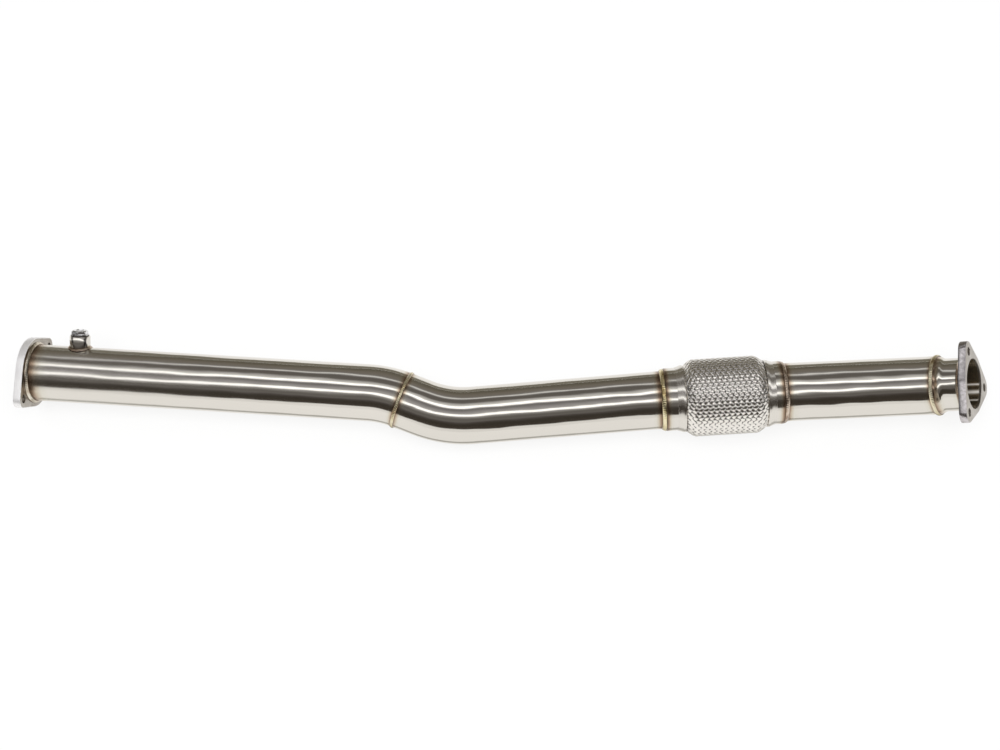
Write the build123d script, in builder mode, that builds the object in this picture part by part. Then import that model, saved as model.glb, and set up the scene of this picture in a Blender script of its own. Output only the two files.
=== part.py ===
from build123d import *

# Turbo downpipe in polished stainless steel, modelled as it lies on a flat surface.
# Millimetres, +Z up, +X along the straight outlet tube, origin at the centre of the outlet flange face.
# The pipe is a chain of stations. A station is a plane whose x runs along the pipe,
# whose z is the axis that the next bend turns about, and whose origin is on the centreline.
import os
from math import atan2, cos, degrees, hypot, radians, sin, sqrt

os.makedirs("parts", exist_ok=True)

# Tube
tube_outer = 76.2
tube_wall = 1.5
bend_radius = 152.4

# Centreline, from the outlet flange to the inlet flange
lie_roll = 22.2
outlet_straight = 455.0
bend_one_angle = 17.5
between_bends = 29.5
bend_two_angle = 25.7
bend_two_roll = -0.95
middle_straight = 250.4
flex_turn = 2.1
flex_droop = 2.4
inlet_straight = 202.8
cut_tilt = 30.0
neck_turn = 3.0

# Outlet flange, two bolts
plate_thickness = 10.0
plate_edge = 0.8
socket_depth = 7.0
socket_clear = 0.15
bolt_hole = 11.0
outlet_rim = 8.9
outlet_spacing = 103.0
outlet_lobe = 25.0
outlet_lobe_angle = 24.0

# Inlet flange, three bolts
inlet_bolt_circle = 90.5
inlet_lobe = 27.0
inlet_rim = 5.0
inlet_turn = 7.0

# Neck between the cut end of the tube and the inlet flange
neck_outer = 69.0
neck_wall = 2.0
neck_length = 35.8
neck_taper = 12.0

# Welds
weld_width = 6.0
weld_height = 1.4
flex_weld_height = 2.8
weld_clear = 0.1
flex_weld_clear = 0.2
neck_weld_sink = 1.0
fillet_weld = 4.5
fillet_waist = 0.45

# Sensor boss, washer and plug
bung_along = 71.5
bung_lean = 12.0
bung_outer = 27.0
bung_height = 16.0
bung_edge = 1.0
bung_thread = 18.0
bung_seat = 0.1
bung_weld_width = 2.6
washer_outer = 24.0
washer_thickness = 1.5
plug_flange = 23.0
plug_flange_thickness = 1.5
plug_hex = 19.0
plug_head = 4.8
plug_clear = 0.15
plug_reach = 16.0
plug_edge = 0.7

# Flexible joint
flex_length = 157.0
collar_wall = 2.55
collar_clear = 0.6
outlet_collar_length = 28.0
inlet_collar_length = 24.0
tube_insert = 9.0
cap_length = 7.0
cap_lip = 2.75
cap_tail = 0.8
braid_swell = 10.25
braid_wall = 1.2
braid_bevel = 10.0
strand_height = 1.3
strand_root = 0.6
strand_width = 5.0
strand_length = 14.4
bevel_strand_length = 9.0
strand_angle = 55.0
strand_columns = 20
strand_rows = 9
gap_size = 2.2
gap_every = 2
gap_spin = 45.0
bellows_wall = 0.8
bellows_gap = 1.5
bellows_waves = 7
bellows_flank = 0.3
bellows_clear = 0.6
liner_inset = 1.3
liner_wall = 1.0
liner_rings = 9
liner_rib = 0.8
liner_clear = 1.5

tube_radius = tube_outer / 2
bore_radius = tube_radius - tube_wall
neck_radius = neck_outer / 2
collar_inner = tube_radius + collar_clear
collar_radius = collar_inner + collar_wall
cap_radius = collar_radius + cap_lip
braid_radius = collar_radius + braid_swell


def moved(station, along):
    """The station further along the pipe."""
    return Plane(station.location * Pos(along, 0, 0))


def turned(station, roll=0.0, tip=0.0, turn=0.0):
    """The station turned about its own x, then its own y, then its own z."""
    return Plane(station.location * Rotation(roll, tip, turn))


def after_bend(station, angle):
    """The station at the end of a bend that turns by the angle, towards +y where it is positive."""
    side = 1 if angle > 0 else -1
    reach = bend_radius * sin(radians(abs(angle)))
    drift = side * bend_radius * (1 - cos(radians(angle)))
    return Plane(station.location * Pos(reach, drift, 0) * Rotation(0, 0, angle))


def across(station, along=0.0):
    """The plane square to the pipe, with its x along the station's y."""
    origin = station.from_local_coords(Vector(along, 0, 0))
    return Plane(origin, x_dir=station.y_dir, z_dir=station.x_dir)


def axis_of(station):
    """The pipe's axis at a station."""
    return Axis(station.origin, station.x_dir)


def finish(part, name):
    """Label a piece and write its file."""
    part.label = name
    export_step(part, f"parts/{name}.step")


# Stations
outlet_face = turned(Plane.XY, roll=lie_roll)
outlet_plate_end = moved(outlet_face, plate_thickness)
tube_start = moved(outlet_plate_end, weld_clear - socket_depth)
bend_one_start = moved(outlet_plate_end, outlet_straight)
bend_one_end = after_bend(bend_one_start, -bend_one_angle)
middle_start = turned(bend_one_end, roll=bend_two_roll)
bend_two_start = moved(middle_start, between_bends)
bend_two_end = after_bend(bend_two_start, bend_two_angle)
middle_end = moved(bend_two_end, middle_straight)
flex_start = turned(middle_end, tip=flex_droop / 2, turn=-flex_turn / 2)
flex_end = moved(flex_start, flex_length)
inlet_start = turned(flex_end, tip=flex_droop / 2, turn=-flex_turn / 2)
inlet_end = moved(inlet_start, inlet_straight)
cut_start = turned(inlet_end, tip=-cut_tilt)
neck_start = turned(cut_start, tip=-neck_turn)
inlet_plate_back = moved(neck_start, neck_length)
inlet_face = moved(inlet_plate_back, plate_thickness)

# Outlet flange: a round body with two lobes, a socket for the tube and two bolt holes
outlet_plane = turned(across(outlet_plate_end), turn=-(outlet_lobe_angle + lie_roll))
with BuildPart() as outlet_flange:
    with BuildSketch(outlet_plane):
        Circle(tube_radius + outlet_rim)
        with Locations((outlet_spacing / 2, 0), (-outlet_spacing / 2, 0)):
            Circle(outlet_lobe / 2)
        make_hull()
    extrude(amount=-plate_thickness)
    rims = outlet_flange.edges().group_by(Axis.X)
    chamfer(rims[0] + rims[-1], plate_edge)
    with BuildSketch(outlet_plane):
        Circle(bore_radius)
        with Locations((outlet_spacing / 2, 0), (-outlet_spacing / 2, 0)):
            Circle(bolt_hole / 2)
    extrude(amount=-plate_thickness, mode=Mode.SUBTRACT)
    with BuildSketch(outlet_plane):
        Circle(tube_radius + socket_clear)
    extrude(amount=-socket_depth, mode=Mode.SUBTRACT)
finish(outlet_flange.part, "outlet_flange")


def fillet_ring(station, inner, side):
    """A triangular weld in the corner between a plate and a pipe, on the given side of the station."""
    with BuildPart() as ring:
        with BuildSketch(station):
            with BuildLine():
                Polyline(
                    (side * weld_clear, inner),
                    (side * fillet_weld, inner),
                    (side * fillet_weld * fillet_waist, inner + fillet_weld * fillet_waist),
                    (side * weld_clear, inner + fillet_weld),
                    close=True,
                )
            make_face()
        revolve(axis=axis_of(station))
    return ring.part


def bead_ring(station, inner, height):
    """A rounded weld bead around the pipe at a station."""
    with BuildPart() as ring:
        with BuildSketch(station):
            with BuildLine():
                Line((-weld_width / 2, inner), (weld_width / 2, inner))
                ThreePointArc((weld_width / 2, inner), (0, inner + height), (-weld_width / 2, inner))
            make_face()
        revolve(axis=axis_of(station))
    return ring.part


finish(fillet_ring(outlet_plate_end, tube_radius + weld_clear, 1), "outlet_flange_weld")

# Outlet tube: a long straight with the first bend, and the hole under the sensor boss
bung_station = moved(outlet_face, bung_along)
bung_plane = Plane(
    bung_station.origin,
    x_dir=bung_station.x_dir,
    z_dir=bung_station.y_dir.rotate(Axis((0, 0, 0), bung_station.x_dir), bung_lean),
)
with BuildPart() as outlet_tube:
    with BuildLine(tube_start) as outlet_route:
        run = Line((0, 0), (socket_depth - weld_clear + outlet_straight, 0))
        JernArc(start=run @ 1, tangent=run % 1, radius=bend_radius, arc_size=-bend_one_angle)
    with BuildSketch(across(tube_start)):
        Circle(tube_radius)
        Circle(bore_radius, mode=Mode.SUBTRACT)
    sweep(path=outlet_route.wires()[0])
    with BuildSketch(bung_plane):
        Circle(bung_thread / 2)
    extrude(amount=tube_radius + tube_wall, mode=Mode.SUBTRACT)
finish(outlet_tube.part, "outlet_tube")

# Sensor boss: a round boss whose foot follows the tube, with its weld, washer and hexagon plug
bung_top = tube_radius + bung_height
bung_radius = bung_outer / 2
with BuildPart() as sensor_bung:
    with BuildSketch(bung_plane):
        Circle(bung_radius)
    extrude(amount=bung_top)
    chamfer(sensor_bung.faces().sort_by(Axis(bung_plane.origin, bung_plane.z_dir))[-1].edges(), bung_edge)
    with BuildSketch(bung_plane):
        Circle(bung_thread / 2)
    extrude(amount=bung_top, mode=Mode.SUBTRACT)
    with BuildSketch(across(outlet_face)):
        Circle(tube_radius + bung_seat)
    extrude(amount=outlet_straight, mode=Mode.SUBTRACT)
finish(sensor_bung.part, "sensor_bung")

bung_side = Plane(bung_plane.origin, x_dir=bung_plane.x_dir, z_dir=-bung_plane.y_dir)
with BuildPart() as sensor_bung_weld:
    with BuildSketch(bung_side):
        with BuildLine():
            Polyline(
                (bung_radius + weld_clear, bore_radius - bung_weld_width),
                (bung_radius + bung_weld_width, bore_radius - bung_weld_width),
                (bung_radius + bung_weld_width, tube_radius - bung_weld_width / 2),
                (bung_radius + weld_clear, tube_radius + bung_weld_width),
                close=True,
            )
        make_face()
    revolve(axis=Axis(bung_plane.origin, bung_plane.z_dir))
    with BuildSketch(across(outlet_face)):
        Circle(tube_radius + bung_seat)
    extrude(amount=outlet_straight, mode=Mode.SUBTRACT)
finish(sensor_bung_weld.part, "sensor_bung_weld")

with BuildPart() as plug_washer:
    with BuildSketch(bung_plane.offset(bung_top)):
        Circle(washer_outer / 2)
        Circle(bung_thread / 2, mode=Mode.SUBTRACT)
    extrude(amount=washer_thickness)
finish(plug_washer.part, "plug_washer")

plug_seat = bung_top + washer_thickness
with BuildPart() as sensor_plug:
    with BuildSketch(bung_plane.offset(plug_seat)):
        RegularPolygon(radius=plug_hex / 2, side_count=6, major_radius=False)
    extrude(amount=plug_flange_thickness + plug_head)
    top = sensor_plug.faces().sort_by(Axis(bung_plane.origin, bung_plane.z_dir))[-1]
    chamfer(top.edges(), plug_edge)
    with BuildSketch(bung_plane.offset(plug_seat)):
        Circle(plug_flange / 2)
    extrude(amount=plug_flange_thickness)
    with BuildSketch(bung_plane.offset(plug_seat)):
        Circle(bung_thread / 2 - plug_clear)
    extrude(amount=-plug_reach)
finish(sensor_plug.part, "sensor_plug")

# First butt weld, at the end of the first bend
finish(bead_ring(bend_one_end, tube_radius + weld_clear, weld_height), "bend_weld")

# Middle tube: the second bend and the straight that enters the flexible joint
with BuildPart() as middle_tube:
    with BuildLine(middle_start) as middle_route:
        lead = Line((0, 0), (between_bends, 0))
        turn = JernArc(start=lead @ 1, tangent=lead % 1, radius=bend_radius, arc_size=bend_two_angle)
    with BuildSketch(across(middle_start)):
        Circle(tube_radius)
        Circle(bore_radius, mode=Mode.SUBTRACT)
    sweep(path=middle_route.wires()[0])
    with BuildSketch(across(bend_two_end)):
        Circle(tube_radius)
        Circle(bore_radius, mode=Mode.SUBTRACT)
    extrude(amount=middle_straight + tube_insert)
finish(middle_tube.part, "middle_tube")

finish(bead_ring(flex_start, tube_radius + flex_weld_clear, flex_weld_height), "flex_outlet_weld")

# Flexible joint, each end: a collar over the tube and a flared cap that holds the braid
flex_back = Plane(flex_end.origin, x_dir=-flex_end.x_dir, z_dir=-flex_end.z_dir)


def collar(station, length):
    """A plain sleeve over the tube's end, from the weld towards the braid."""
    with BuildPart() as sleeve:
        with BuildSketch(across(station, weld_width / 2)):
            Circle(collar_radius)
            Circle(collar_inner, mode=Mode.SUBTRACT)
        extrude(amount=length - weld_width / 2)
    return sleeve.part


def cap(station, length):
    """A flared ring over the collar that grips the end of the braid."""
    start = length - cap_length
    seat = collar_radius + weld_clear
    with BuildPart() as ring:
        with BuildSketch(station):
            with BuildLine():
                Polyline(
                    (start - cap_length / 2, seat),
                    (length, seat),
                    (length, cap_radius),
                    (length - cap_length / 2, cap_radius),
                    (start - cap_length / 2, seat + cap_tail),
                    close=True,
                )
            make_face()
        revolve(axis=axis_of(station))
    return ring.part


finish(collar(flex_start, outlet_collar_length), "flex_outlet_collar")
finish(cap(flex_start, outlet_collar_length), "flex_outlet_cap")
finish(collar(flex_back, inlet_collar_length), "flex_inlet_collar")
finish(cap(flex_back, inlet_collar_length), "flex_inlet_cap")

# Braid: a barrel of strands that lean one way and the other by turns, its ends drawn in to the caps
braid_half = (flex_length - outlet_collar_length - inlet_collar_length) / 2 - weld_clear
braid_middle = moved(flex_start, outlet_collar_length + weld_clear + braid_half)
strand_reach = hypot(strand_length, strand_width) / 2
braid_base = sqrt(braid_radius**2 - strand_reach**2) - strand_height
braid_mouth = collar_radius + weld_clear
flat_half = braid_half - braid_bevel
row_pitch = 2 * flat_half / strand_rows
strand_depth = strand_height + strand_root
strand_lift = (strand_height - strand_root) / 2
bevel_slope = degrees(atan2(braid_base - braid_mouth, braid_bevel))
bevel_place = (flat_half + braid_half) / 2
first_row = (1 - strand_rows) / 2 * row_pitch
row_places = [Pos(braid_base + strand_lift, 0, first_row + row * row_pitch) for row in range(strand_rows)]
bevel_radius = (braid_base + braid_mouth) / 2
bevel_places = [
    Pos(bevel_radius, 0, bevel_place) * Rotation(0, -bevel_slope, 0) * Pos(strand_lift, 0, 0),
    Pos(bevel_radius, 0, -bevel_place) * Rotation(0, bevel_slope, 0) * Pos(strand_lift, 0, 0),
]
gap_shift = row_pitch / 2 - strand_length / 2 * cos(radians(strand_angle))
gap_depth = 2 * (braid_wall + strand_height)
column_step = 360 / strand_columns
with BuildPart(across(braid_middle)) as flex_braid:
    with BuildSketch(braid_middle):
        with BuildLine():
            Polyline(
                (-braid_half, braid_mouth),
                (-flat_half, braid_base),
                (flat_half, braid_base),
                (braid_half, braid_mouth),
                (braid_half, braid_mouth - braid_wall),
                (flat_half, braid_base - braid_wall),
                (-flat_half, braid_base - braid_wall),
                (-braid_half, braid_mouth - braid_wall),
                close=True,
            )
        make_face()
    revolve(axis=axis_of(braid_middle))
    for side in (0, 1):
        lean = strand_angle if side else -strand_angle
        with PolarLocations(0, strand_columns // 2, start_angle=side * column_step):
            with Locations(*row_places):
                Box(strand_depth, strand_width, strand_length, rotation=(lean, 0, 0))
            with Locations(*bevel_places):
                Box(strand_depth, strand_width, bevel_strand_length, rotation=(lean, 0, 0))
    for side in (0, 1):
        shift = gap_shift if side else -gap_shift
        gap_places = [place * Pos(0, 0, shift) for place in row_places[::gap_every]]
        with PolarLocations(0, strand_columns // 2, start_angle=(side + 0.5) * column_step):
            with Locations(*gap_places):
                Box(gap_depth, gap_size, gap_size, rotation=(gap_spin, 0, 0), mode=Mode.SUBTRACT)
finish(flex_braid.part, "flex_braid")

# Bellows: a thin corrugated sleeve inside the braid, with a plain neck at each end
bellows_half = braid_half - bellows_clear
bellows_root = collar_inner + bellows_wall
bellows_crest = braid_base - braid_wall - strand_height - bellows_gap
wave_pitch = 2 * flat_half / bellows_waves
outer_wave = [(-bellows_half, bellows_root)]
for wave in range(bellows_waves):
    start = -flat_half + wave * wave_pitch
    outer_wave.append((start, bellows_root))
    outer_wave.append((start + wave_pitch * bellows_flank, bellows_crest))
    outer_wave.append((start + wave_pitch * (1 - bellows_flank), bellows_crest))
outer_wave.append((flat_half, bellows_root))
outer_wave.append((bellows_half, bellows_root))
inner_wave = [(along, radius - bellows_wall) for along, radius in reversed(outer_wave)]
with BuildPart() as flex_bellows:
    with BuildSketch(braid_middle):
        with BuildLine():
            Polyline(*outer_wave, *inner_wave, close=True)
        make_face()
    revolve(axis=axis_of(braid_middle))
finish(flex_bellows.part, "flex_bellows")

# Liner: a ribbed sleeve inside the bellows that the gas runs through
flex_middle = moved(flex_start, flex_length / 2)
liner_half = flex_length / 2 - tube_insert - liner_clear
liner_radius = tube_radius - liner_inset
rib_pitch = 2 * liner_half / liner_rings
with BuildPart() as flex_liner:
    with BuildSketch(across(flex_middle, -liner_half)):
        Circle(liner_radius)
        Circle(liner_radius - liner_wall, mode=Mode.SUBTRACT)
    extrude(amount=2 * liner_half)
    for ring in range(liner_rings):
        along = (ring - (liner_rings - 1) / 2) * rib_pitch
        with BuildSketch(across(flex_middle, along - rib_pitch / 4)):
            Circle(liner_radius + liner_rib)
            Circle(liner_radius - liner_wall / 2, mode=Mode.SUBTRACT)
        extrude(amount=rib_pitch / 2)
finish(flex_liner.part, "flex_liner")

finish(bead_ring(flex_end, tube_radius + flex_weld_clear, flex_weld_height), "flex_inlet_weld")

# Inlet tube: straight, its far end cut at an angle
with BuildPart() as inlet_tube:
    with BuildSketch(across(inlet_start, -tube_insert)):
        Circle(tube_radius)
        Circle(bore_radius, mode=Mode.SUBTRACT)
    extrude(amount=tube_insert + inlet_straight + tube_outer)
    split(bisect_by=across(cut_start), keep=Keep.BOTTOM)
finish(inlet_tube.part, "inlet_tube")

# Neck: from the oval cut end of the tube down to a round stub
oval_long = tube_radius / cos(radians(cut_tilt))
cut_plane = across(cut_start)
taper_end = across(neck_start, neck_taper)
stub_length = neck_length - neck_taper + socket_depth - weld_clear
with BuildPart() as inlet_neck:
    with BuildSketch(cut_plane):
        Ellipse(tube_radius, oval_long)
    with BuildSketch(taper_end):
        Circle(neck_radius)
    loft()
    with BuildSketch(taper_end):
        Circle(neck_radius)
    extrude(amount=stub_length)
    with BuildSketch(cut_plane):
        Ellipse(tube_radius - neck_wall, oval_long - neck_wall)
    with BuildSketch(taper_end):
        Circle(neck_radius - neck_wall)
    loft(mode=Mode.SUBTRACT)
    with BuildSketch(taper_end):
        Circle(neck_radius - neck_wall)
    extrude(amount=stub_length, mode=Mode.SUBTRACT)
finish(inlet_neck.part, "inlet_neck")

# Weld along the oval joint: a round bead that lies on the tube and on the neck
with BuildSketch(cut_plane) as oval:
    Ellipse(tube_radius - neck_weld_sink, oval_long - neck_weld_sink)
bead_route = oval.sketch.edges()[0]
with BuildPart() as neck_weld:
    with BuildSketch(Plane(bead_route @ 0, x_dir=cut_plane.z_dir, z_dir=bead_route % 0)):
        Circle(weld_width / 2)
    sweep(path=bead_route)
    with BuildSketch(cut_plane):
        Ellipse(tube_radius + weld_clear, oval_long + weld_clear)
    extrude(amount=weld_width, dir=-inlet_end.x_dir, mode=Mode.SUBTRACT)
    with BuildSketch(cut_plane):
        Ellipse(tube_radius + weld_clear, oval_long + weld_clear)
    with BuildSketch(taper_end):
        Circle(neck_radius + weld_clear)
    loft(mode=Mode.SUBTRACT)
finish(neck_weld.part, "neck_weld")

finish(fillet_ring(inlet_plate_back, neck_radius + weld_clear, -1), "inlet_flange_weld")

# Inlet flange: three lobes around the bore
inlet_plane = turned(across(inlet_face), turn=-90 - inlet_turn)
with BuildPart() as inlet_flange:
    with BuildSketch(inlet_plane):
        Circle(neck_radius + inlet_rim)
        with PolarLocations(inlet_bolt_circle / 2, 3):
            Circle(inlet_lobe / 2)
        make_hull()
    extrude(amount=-plate_thickness)
    rims = inlet_flange.edges().group_by(axis_of(inlet_face))
    chamfer(rims[0] + rims[-1], plate_edge)
    with BuildSketch(inlet_plane):
        Circle(neck_radius - neck_wall)
        with PolarLocations(inlet_bolt_circle / 2, 3):
            Circle(bolt_hole / 2)
    extrude(amount=-plate_thickness, mode=Mode.SUBTRACT)
    with BuildSketch(across(inlet_plate_back)):
        Circle(neck_radius + socket_clear)
    extrude(amount=socket_depth, mode=Mode.SUBTRACT)
finish(inlet_flange.part, "inlet_flange")
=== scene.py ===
"""Turbo downpipe in polished stainless steel, lying on a pale studio floor."""
import math
import random

import bmesh
import bpy
from mathutils import Matrix, Vector


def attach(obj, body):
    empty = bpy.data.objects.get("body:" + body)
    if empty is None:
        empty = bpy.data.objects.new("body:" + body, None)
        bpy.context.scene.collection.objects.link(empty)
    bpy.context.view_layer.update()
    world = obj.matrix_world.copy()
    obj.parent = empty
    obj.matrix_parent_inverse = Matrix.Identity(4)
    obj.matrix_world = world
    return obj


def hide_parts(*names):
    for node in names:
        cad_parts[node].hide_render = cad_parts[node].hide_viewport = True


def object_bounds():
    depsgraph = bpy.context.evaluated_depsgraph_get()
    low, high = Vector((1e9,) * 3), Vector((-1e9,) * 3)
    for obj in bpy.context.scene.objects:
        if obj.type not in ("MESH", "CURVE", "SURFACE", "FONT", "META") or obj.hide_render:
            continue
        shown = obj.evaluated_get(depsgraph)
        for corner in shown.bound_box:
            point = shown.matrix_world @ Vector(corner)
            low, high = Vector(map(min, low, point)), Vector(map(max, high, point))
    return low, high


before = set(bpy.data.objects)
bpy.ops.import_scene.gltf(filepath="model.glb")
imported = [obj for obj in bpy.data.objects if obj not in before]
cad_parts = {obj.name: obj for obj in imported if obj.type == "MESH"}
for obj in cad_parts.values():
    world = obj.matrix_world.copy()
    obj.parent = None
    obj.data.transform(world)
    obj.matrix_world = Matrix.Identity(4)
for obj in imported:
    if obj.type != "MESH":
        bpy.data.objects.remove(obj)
cad_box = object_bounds()
MM = 0.001
# Each point's weld heat tint, and on the neck's bore lining its painted highlights
HEAT_AND_SHINE = "weld_heat_and_bore_shine"

# Sizes of the pipe, in millimetres and degrees, the same as the solids'
TUBE_R = 38.1
TUBE_WALL = 1.5
BEND_R = 152.4
LIE_ROLL = 22.2
PLATE = 10.0
OUTLET_STRAIGHT = 455.0
BEND_ONE = 17.5
BETWEEN_BENDS = 29.5
BEND_TWO = 25.7
BEND_TWO_ROLL = -0.95
MIDDLE_STRAIGHT = 250.4
FLEX_TURN = 2.1
FLEX_DROOP = 2.4
FLEX_LENGTH = 157.0
INLET_STRAIGHT = 202.8
CUT_TILT = 30.0
NECK_TURN = 3.0
NECK_R = 34.5
NECK_WALL = 2.0
NECK_LENGTH = 35.8
NECK_TAPER = 12.0
SOCKET = 7.0
SOCKET_CLEAR = 0.15
SEAT_GAP = 0.1
BOLT_R = 5.5
INSERT = 9.0
COLLAR_R = 41.25
COLLAR_CLEAR = 0.6
OUTLET_COLLAR = 28.0
INLET_COLLAR = 24.0
CAP_R = 44.0
CAP_LENGTH = 7.0
BRAID_R = 51.4
BRAID_BEVEL = 10.0
BUNG_ALONG = 71.5
BUNG_LEAN = 12.0
BUNG_R = 13.5
BUNG_HEIGHT = 16.0
WASHER_T = 1.5
# Points around each ring
ROUND = 160


class Station:
    """A place on the centreline: x runs along the pipe, z is the axis that the next bend turns about."""

    def __init__(self, origin, axes):
        self.origin = Vector(origin)
        self.axes = axes

    def turned(self, roll=0.0, tip=0.0, turn=0.0):
        axes = self.axes.copy()
        for column, angle in enumerate((roll, tip, turn)):
            about = axes.col[column].copy()
            axes = Matrix.Rotation(math.radians(angle), 3, about) @ axes
        return Station(self.origin, axes)

    def moved(self, along):
        return Station(self.origin + self.axes.col[0] * along, self.axes)

    def bent(self, angle):
        side = 1 if angle > 0 else -1
        reach = BEND_R * math.sin(math.radians(abs(angle)))
        drift = side * BEND_R * (1 - math.cos(math.radians(angle)))
        end = self.origin + self.axes.col[0] * reach + self.axes.col[1] * drift
        return Station(end, self.axes).turned(turn=angle)

    def point(self, along, radius, angle):
        out = self.axes.col[1] * math.cos(angle) + self.axes.col[2] * math.sin(angle)
        return self.origin + self.axes.col[0] * along + out * radius


outlet_face = Station((0, 0, 0), Matrix.Identity(3)).turned(roll=LIE_ROLL)
outlet_back = outlet_face.moved(PLATE)
bend_one_start = outlet_back.moved(OUTLET_STRAIGHT)
bend_one_end = bend_one_start.bent(-BEND_ONE)
middle_start = bend_one_end.turned(roll=BEND_TWO_ROLL)
bend_two_start = middle_start.moved(BETWEEN_BENDS)
bend_two_end = bend_two_start.bent(BEND_TWO)
middle_end = bend_two_end.moved(MIDDLE_STRAIGHT)
flex_start = middle_end.turned(tip=FLEX_DROOP / 2, turn=-FLEX_TURN / 2)
flex_end = flex_start.moved(FLEX_LENGTH)
inlet_start = flex_end.turned(tip=FLEX_DROOP / 2, turn=-FLEX_TURN / 2)
inlet_end = inlet_start.moved(INLET_STRAIGHT)
cut_start = inlet_end.turned(tip=-CUT_TILT)
neck_start = cut_start.turned(tip=-NECK_TURN)
inlet_back = neck_start.moved(NECK_LENGTH)
inlet_face = inlet_back.moved(PLATE)
flex_back = Station(flex_end.origin, flex_end.axes @ Matrix.Rotation(math.pi, 3, "Y"))


# Meshes


def shade(work, sharp):
    """Smooth shading all over, broken at the edges that turn by more than an angle in degrees."""
    bmesh.ops.recalc_face_normals(work, faces=work.faces)
    limit = math.radians(sharp)
    for face in work.faces:
        face.smooth = True
    for edge in work.edges:
        if len(edge.link_faces) == 2:
            edge.smooth = edge.calc_face_angle() < limit


def add_object(name, mesh, materials):
    obj = bpy.data.objects.new(name, mesh)
    bpy.context.scene.collection.objects.link(obj)
    for material in materials:
        obj.data.materials.append(material)
    return obj


def make_object(name, verts, faces, material, sharp=35.0, heat=None):
    """A smooth-shaded object from points in millimetres, with a heat value stored at each point."""
    mesh = bpy.data.meshes.new(name)
    mesh.from_pydata([Vector(point) * MM for point in verts], [], faces)
    mesh.validate()
    work = bmesh.new()
    work.from_mesh(mesh)
    shade(work, sharp)
    work.to_mesh(mesh)
    work.free()
    if heat is not None:
        layer = mesh.attributes.new(HEAT_AND_SHINE, "FLOAT", "POINT")
        for index, value in enumerate(heat):
            layer.data[index].value = value
    return add_object(name, mesh, [material])


def stand_in(obj, node):
    """Shows the object in place of a node of the frame."""
    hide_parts(node)
    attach(obj, "root")


def loops_to_faces(count, size, closed):
    """Quads between rings of points, and from the last ring to the first where closed."""
    faces = []
    for ring in range(count if closed else count - 1):
        after = (ring + 1) % count
        for k in range(size):
            nxt = (k + 1) % size
            faces.append((ring * size + k, ring * size + nxt, after * size + nxt, after * size + k))
    return faces


def ring_at(station, along, radius, size=ROUND):
    return [station.point(along, radius, math.tau * k / size) for k in range(size)]


def closed_tube(name, rings, heats, material, sharp=35.0, lining=None):
    """A solid wall from a closed series of rings; a lining is the finish of the second half of them."""
    verts = [point for ring in rings for point in ring]
    heat = [value for ring, value in zip(rings, heats) for _ in ring]
    obj = make_object(name, verts, loops_to_faces(len(rings), len(rings[0]), True), material, sharp, heat)
    if lining is not None:
        obj.data.materials.append(lining)
        middle = len(verts) // 2
        for face in obj.data.polygons:
            face.material_index = 1 if min(face.vertices) >= middle else 0
    return obj


def lathe(name, station, profile, material, sharp=35.0, size=ROUND, hot=None):
    """A ring-shaped solid turned from a closed profile of (along, radius) points, hot as (along, reach)."""
    rings = [ring_at(station, along, radius, size) for along, radius in profile]
    heats = [near(along - hot[0], hot[1]) if hot else 0.0 for along, _ in profile]
    return closed_tube(name, rings, heats, material, sharp)


def rounded(profile, radius=0.6, steps=3):
    """The closed profile with each corner rounded."""
    points = []
    count = len(profile)
    for index in range(count):
        here = Vector(profile[index])
        before = Vector(profile[index - 1]) - here
        after = Vector(profile[(index + 1) % count]) - here
        reach = min(radius, before.length * 0.45, after.length * 0.45)
        start = here + before.normalized() * reach
        end = here + after.normalized() * reach
        for step in range(steps + 1):
            share = step / steps
            curve = start * (1 - share) ** 2 + here * 2 * share * (1 - share) + end * share * share
            points.append(tuple(curve))
    return points


def near(distance, width):
    """Heat left by a weld at a distance along the pipe: 1 at the weld, 0 past the width."""
    return max(0.0, 1.0 - abs(distance) / width)


# Materials


def new_material(name):
    material = bpy.data.materials.new(name)
    material.use_nodes = True
    nodes = material.node_tree.nodes
    return material, nodes, material.node_tree.links, nodes["Principled BSDF"]


def ramp_node(nodes, stops):
    ramp = nodes.new("ShaderNodeValToRGB")
    elements = ramp.color_ramp.elements
    while len(elements) < len(stops):
        elements.new(0.5)
    for element, (position, colour) in zip(elements, stops):
        element.position = position
        element.color = (*colour, 1.0)
    return ramp


def math_node(nodes, links, operation, *values):
    """The result of a calculation on sockets and plain numbers."""
    node = nodes.new("ShaderNodeMath")
    node.operation = operation
    for socket, value in zip(node.inputs, values):
        if isinstance(value, bpy.types.NodeSocket):
            links.new(value, socket)
        else:
            socket.default_value = value
    return node.outputs[0]


def heat_and_shine_socket(nodes):
    attribute = nodes.new("ShaderNodeAttribute")
    attribute.attribute_name = HEAT_AND_SHINE
    return attribute.outputs["Fac"]


def noise_node(nodes, links, scale, detail, stretch=(1, 1, 1)):
    coords = nodes.new("ShaderNodeTexCoord")
    mapping = nodes.new("ShaderNodeMapping")
    mapping.inputs["Scale"].default_value = stretch
    noise = nodes.new("ShaderNodeTexNoise")
    noise.inputs["Scale"].default_value = scale
    noise.inputs["Detail"].default_value = detail
    links.new(coords.outputs["Object"], mapping.inputs["Vector"])
    links.new(mapping.outputs["Vector"], noise.inputs["Vector"])
    return noise.outputs["Fac"]


def range_node(nodes, links, source, low, high, start=0.0, end=1.0):
    """A value that goes from low to high as the source goes from start to end."""
    span = nodes.new("ShaderNodeMapRange")
    for bound, value in (("From Min", start), ("From Max", end), ("To Min", low), ("To Max", high)):
        span.inputs[bound].default_value = value
    links.new(source, span.inputs["Value"])
    return span.outputs["Result"]


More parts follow.
